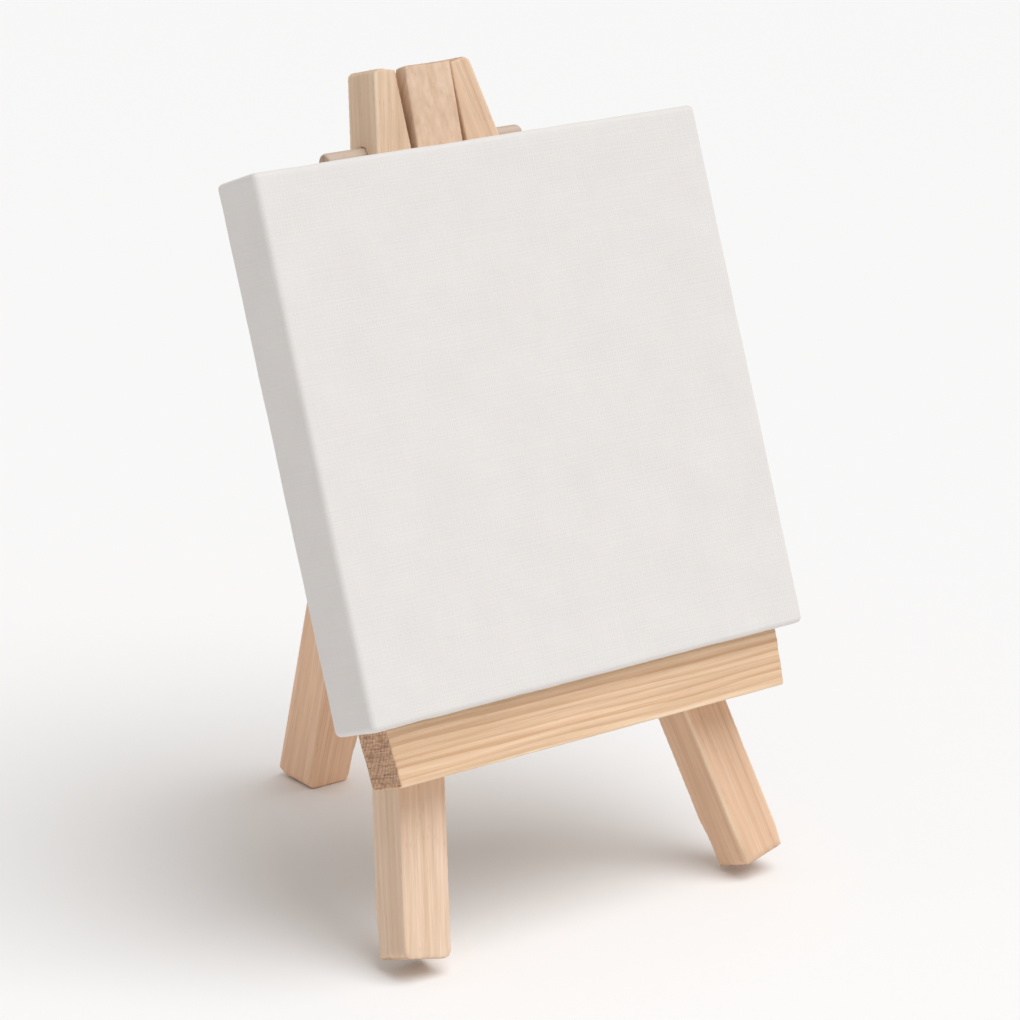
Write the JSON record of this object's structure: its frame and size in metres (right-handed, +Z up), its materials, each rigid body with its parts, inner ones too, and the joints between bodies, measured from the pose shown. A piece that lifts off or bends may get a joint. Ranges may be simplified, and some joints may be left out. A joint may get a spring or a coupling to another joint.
{
  "type": "tabletop easel",
  "caption": "Small wooden A-frame tabletop easel with a folding rear leg on a dowel hinge, a front ledge and a removable square stretched canvas.",
  "frame": {"origin": "on the table, under the centre of the easel's bounding box", "axes": "+X to the right seen from the front, +Y to the back, +Z up; the painting side faces -Y and leans back"},
  "size_m": [0.0808, 0.0778, 0.1219],
  "materials": {
    "leg_wood": "planed, unvarnished, satin",
    "ledge_wood": "planed, unvarnished, satin",
    "rear_leg_wood": "planed, unvarnished, satin",
    "bar_wood": "planed, unvarnished, satin",
    "canvas_white": "primed woven cotton, matt",
    "steel": "galvanised wire"
  },
  "bodies": {
    "easel_frame": {"left_leg": "leg_wood", "right_leg": "leg_wood", "hinge_dowel": "ledge_wood", "ledge": "ledge_wood", "ledge_nails": "steel"},
    "rear_prop": {"rear_leg": "rear_leg_wood"},
    "canvas": {"canvas_cloth": "canvas_white", "stretcher_top": "bar_wood", "stretcher_bottom": "bar_wood", "stretcher_left": "bar_wood", "stretcher_right": "bar_wood", "corner_nails": "steel", "staples_top": "steel", "staples_bottom": "steel", "staples_left": "steel", "staples_right": "steel"}
  },
  "joints": [
    {"name": "rear_leg_fold", "type": "hinge", "parent": "easel_frame", "child": "rear_prop", "pos_m": [0, 0.00763, 0.1088], "axis": [-1, 0, 0], "range_deg": [0, 35.5]},
    {"name": "canvas_lift_off", "type": "slide", "parent": "easel_frame", "child": "canvas", "axis": [0, -0.9304, 0.3665], "range_m": [0, 0.04]}
  ]
}
